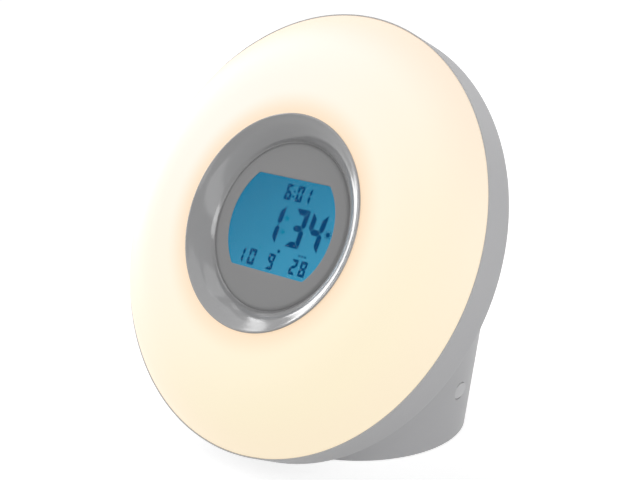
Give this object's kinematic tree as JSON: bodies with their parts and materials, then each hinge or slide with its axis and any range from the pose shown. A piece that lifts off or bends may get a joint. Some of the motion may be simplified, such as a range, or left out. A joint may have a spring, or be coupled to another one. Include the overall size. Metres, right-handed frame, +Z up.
{
  "type": "sunrise alarm clock",
  "caption": "Leaning round wake-up light with a glowing ring, a sunk display in a funnel bezel, a round foot, rear keys, a speaker grille and a power inlet.",
  "frame": {"origin": "on the table, under the middle of the whole clock", "axes": "+Z up, the face looks towards -Y and leans back, +X to the right of someone facing it"},
  "size_m": [0.1724, 0.1326, 0.1655],
  "materials": {
    "housing": "fine satin moulded",
    "base": "matt moulded",
    "diffuser": "frosted, glowing",
    "bezel": "gloss",
    "panel": "satin",
    "window": "clear",
    "lcd": "gloss",
    "white_part": "matt white",
    "key": "fine satin moulded",
    "board": "solder mask",
    "component": "matt moulded",
    "led": "gloss",
    "capacitor": "sleeved",
    "elastomer": "matt",
    "rubber": "matt",
    "steel": "bright",
    "magnet": "zinc plated",
    "paper": "pressed paper",
    "cell": "sleeved",
    "wire": "smooth insulation",
    "ribbon": "matt"
  },
  "bodies": {
    "housing": {"rear_housing": "housing", "base_plate": "base", "battery_cells": "cell", "battery_contacts": "steel", "dc_jack": "component", "speaker_frame": "component", "speaker_cone": "paper", "speaker_magnet": "magnet", "speaker_clamp": "steel", "diffuser": "diffuser", "reflector_tray": "white_part", "led_board": "board", "led_chips": "led", "bezel_ring": "bezel", "display_panel": "panel", "display_lens": "window", "lcd_glass": "lcd", "backlight_plate": "white_part", "lcd_frame": "white_part", "contact_strips": "elastomer", "display_board": "board", "display_chips": "component", "main_board": "board", "board_chips": "component", "board_capacitors": "capacitor", "wire_headers": "white_part", "key_board": "board", "key_switches": "component", "side_board": "board", "side_switch": "component", "rubber_feet": "rubber", "tray_screws": "steel", "base_screws": "steel", "bezel_screws": "steel", "board_screws": "steel", "key_board_screws": "steel", "speaker_screws": "steel", "display_ribbon": "ribbon", "led_leads": "wire", "key_leads": "wire", "speaker_leads": "wire", "battery_leads": "wire", "power_leads": "wire", "side_key_leads": "wire"},
    "alarm_key": {"alarm_key": "key"},
    "mode_key": {"mode_key": "key"},
    "light_key": {"light_key": "key"},
    "down_key": {"down_key": "key"},
    "up_key": {"up_key": "key"},
    "side_key": {"side_key": "key"},
    "battery_door": {"battery_door": "base"}
  },
  "joints": [
    {"name": "alarm_key_press", "type": "slide", "parent": "housing", "child": "alarm_key", "axis": [0, -0.9033, 0.4289], "range_m": [0, 0.0008], "stiffness_N_per_m": 1500, "springref_m": -0.0004},
    {"name": "mode_key_press", "type": "slide", "parent": "housing", "child": "mode_key", "axis": [0, -0.9033, 0.4289], "range_m": [0, 0.0008], "stiffness_N_per_m": 1500, "springref_m": -0.0004},
    {"name": "light_key_press", "type": "slide", "parent": "housing", "child": "light_key", "axis": [0, -0.9033, 0.4289], "range_m": [0, 0.0008], "stiffness_N_per_m": 1500, "springref_m": -0.0004},
    {"name": "down_key_press", "type": "slide", "parent": "housing", "child": "down_key", "axis": [0, -0.9033, 0.4289], "range_m": [0, 0.0008], "stiffness_N_per_m": 1500, "springref_m": -0.0004},
    {"name": "up_key_press", "type": "slide", "parent": "housing", "child": "up_key", "axis": [0, -0.9033, 0.4289], "range_m": [0, 0.0008], "stiffness_N_per_m": 1500, "springref_m": -0.0004},
    {"name": "side_key_press", "type": "slide", "parent": "housing", "child": "side_key", "axis": [-0.9613, 0, 0.2756], "range_m": [0, 0.0008], "stiffness_N_per_m": 1500, "springref_m": -0.0004},
    {"name": "battery_door_hinge", "type": "hinge", "parent": "housing", "child": "battery_door", "pos_m": [0, 0.0008, 0.0017], "axis": [-1, 0, 0], "range_deg": [0, 75]}
  ]
}
